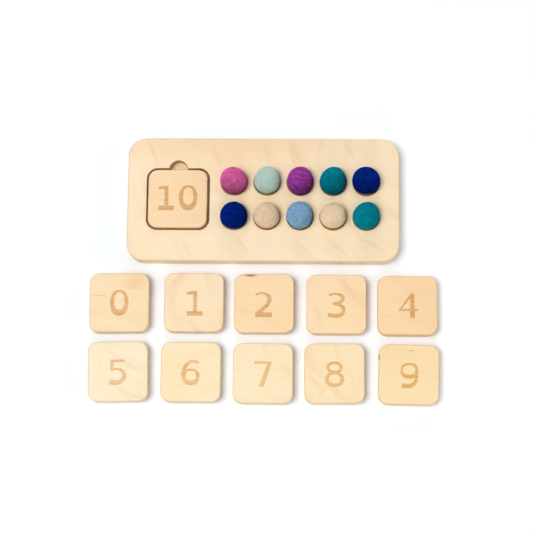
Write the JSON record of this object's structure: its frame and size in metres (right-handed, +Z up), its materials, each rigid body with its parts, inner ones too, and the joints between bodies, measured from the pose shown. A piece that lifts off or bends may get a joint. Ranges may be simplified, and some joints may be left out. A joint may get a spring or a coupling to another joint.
{
  "type": "wooden counting board",
  "caption": "Rounded wooden board with a square tile recess, a finger notch and two rows of dished cups, with loose square number tiles and wool felt counting balls.",
  "frame": {"origin": "middle of the board's flat underside", "axes": "+Z up out of the board's face, +X along the board from the tile recess to the cups, +Y away from the two rows of loose tiles"},
  "size_m": [0.3312, 0.2554, 0.0351],
  "materials": {
    "board_wood": "pale maple or birch, sanded smooth, with a thin satin oil",
    "tile_wood": "pale maple or birch, sanded smooth, with a thin satin oil and a scorched engraved numeral",
    "felt_pink": "dyed wool, wet felted into a firm matte ball",
    "felt_mint": "dyed wool, wet felted into a firm matte ball",
    "felt_purple": "dyed wool, wet felted into a firm matte ball",
    "felt_teal": "dyed wool, wet felted into a firm matte ball",
    "felt_navy": "dyed wool, wet felted into a firm matte ball",
    "felt_beige": "dyed wool, wet felted into a firm matte ball",
    "felt_light_blue": "dyed wool, wet felted into a firm matte ball"
  },
  "bodies": {
    "board": {"board": "board_wood"},
    "tile_0_body": {"tile_0": "tile_wood"},
    "tile_1_body": {"tile_1": "tile_wood"},
    "tile_2_body": {"tile_2": "tile_wood"},
    "tile_3_body": {"tile_3": "tile_wood"},
    "tile_4_body": {"tile_4": "tile_wood"},
    "tile_5_body": {"tile_5": "tile_wood"},
    "tile_6_body": {"tile_6": "tile_wood"},
    "tile_7_body": {"tile_7": "tile_wood"},
    "tile_8_body": {"tile_8": "tile_wood"},
    "tile_9_body": {"tile_9": "tile_wood"},
    "tile_10_body": {"tile_10": "tile_wood"},
    "felt_ball_1_pink_body": {"felt_ball_1_pink": "felt_pink"},
    "felt_ball_2_mint_body": {"felt_ball_2_mint": "felt_mint"},
    "felt_ball_3_purple_body": {"felt_ball_3_purple": "felt_purple"},
    "felt_ball_4_teal_body": {"felt_ball_4_teal": "felt_teal"},
    "felt_ball_5_navy_body": {"felt_ball_5_navy": "felt_navy"},
    "felt_ball_6_navy_body": {"felt_ball_6_navy": "felt_navy"},
    "felt_ball_7_beige_body": {"felt_ball_7_beige": "felt_beige"},
    "felt_ball_8_light_blue_body": {"felt_ball_8_light_blue": "felt_light_blue"},
    "felt_ball_9_beige_body": {"felt_ball_9_beige": "felt_beige"},
    "felt_ball_10_teal_body": {"felt_ball_10_teal": "felt_teal"}
  },
  "joints": [
    {"name": "tile_0_lift", "type": "slide", "parent": "board", "child": "tile_0_body", "axis": [0, 0, 1], "range_m": [0, 0.04]},
    {"name": "tile_1_lift", "type": "slide", "parent": "board", "child": "tile_1_body", "axis": [0, 0, 1], "range_m": [0, 0.04]},
    {"name": "tile_2_lift", "type": "slide", "parent": "board", "child": "tile_2_body", "axis": [0, 0, 1], "range_m": [0, 0.04]},
    {"name": "tile_3_lift", "type": "slide", "parent": "board", "child": "tile_3_body", "axis": [0, 0, 1], "range_m": [0, 0.04]},
    {"name": "tile_4_lift", "type": "slide", "parent": "board", "child": "tile_4_body", "axis": [0, 0, 1], "range_m": [0, 0.04]},
    {"name": "tile_5_lift", "type": "slide", "parent": "board", "child": "tile_5_body", "axis": [0, 0, 1], "range_m": [0, 0.04]},
    {"name": "tile_6_lift", "type": "slide", "parent": "board", "child": "tile_6_body", "axis": [0, 0, 1], "range_m": [0, 0.04]},
    {"name": "tile_7_lift", "type": "slide", "parent": "board", "child": "tile_7_body", "axis": [0, 0, 1], "range_m": [0, 0.04]},
    {"name": "tile_8_lift", "type": "slide", "parent": "board", "child": "tile_8_body", "axis": [0, 0, 1], "range_m": [0, 0.04]},
    {"name": "tile_9_lift", "type": "slide", "parent": "board", "child": "tile_9_body", "axis": [0, 0, 1], "range_m": [0, 0.04]},
    {"name": "tile_10_lift", "type": "slide", "parent": "board", "child": "tile_10_body", "axis": [0, 0, 1], "range_m": [0, 0.04]},
    {"name": "felt_ball_1_pink_lift", "type": "slide", "parent": "board", "child": "felt_ball_1_pink_body", "axis": [0, 0, 1], "range_m": [0, 0.04]},
    {"name": "felt_ball_2_mint_lift", "type": "slide", "parent": "board", "child": "felt_ball_2_mint_body", "axis": [0, 0, 1], "range_m": [0, 0.04]},
    {"name": "felt_ball_3_purple_lift", "type": "slide", "parent": "board", "child": "felt_ball_3_purple_body", "axis": [0, 0, 1], "range_m": [0, 0.04]},
    {"name": "felt_ball_4_teal_lift", "type": "slide", "parent": "board", "child": "felt_ball_4_teal_body", "axis": [0, 0, 1], "range_m": [0, 0.04]},
    {"name": "felt_ball_5_navy_lift", "type": "slide", "parent": "board", "child": "felt_ball_5_navy_body", "axis": [0, 0, 1], "range_m": [0, 0.04]},
    {"name": "felt_ball_6_navy_lift", "type": "slide", "parent": "board", "child": "felt_ball_6_navy_body", "axis": [0, 0, 1], "range_m": [0, 0.04]},
    {"name": "felt_ball_7_beige_lift", "type": "slide", "parent": "board", "child": "felt_ball_7_beige_body", "axis": [0, 0, 1], "range_m": [0, 0.04]},
    {"name": "felt_ball_8_light_blue_lift", "type": "slide", "parent": "board", "child": "felt_ball_8_light_blue_body", "axis": [0, 0, 1], "range_m": [0, 0.04]},
    {"name": "felt_ball_9_beige_lift", "type": "slide", "parent": "board", "child": "felt_ball_9_beige_body", "axis": [0, 0, 1], "range_m": [0, 0.04]},
    {"name": "felt_ball_10_teal_lift", "type": "slide", "parent": "board", "child": "felt_ball_10_teal_body", "axis": [0, 0, 1], "range_m": [0, 0.04]}
  ]
}
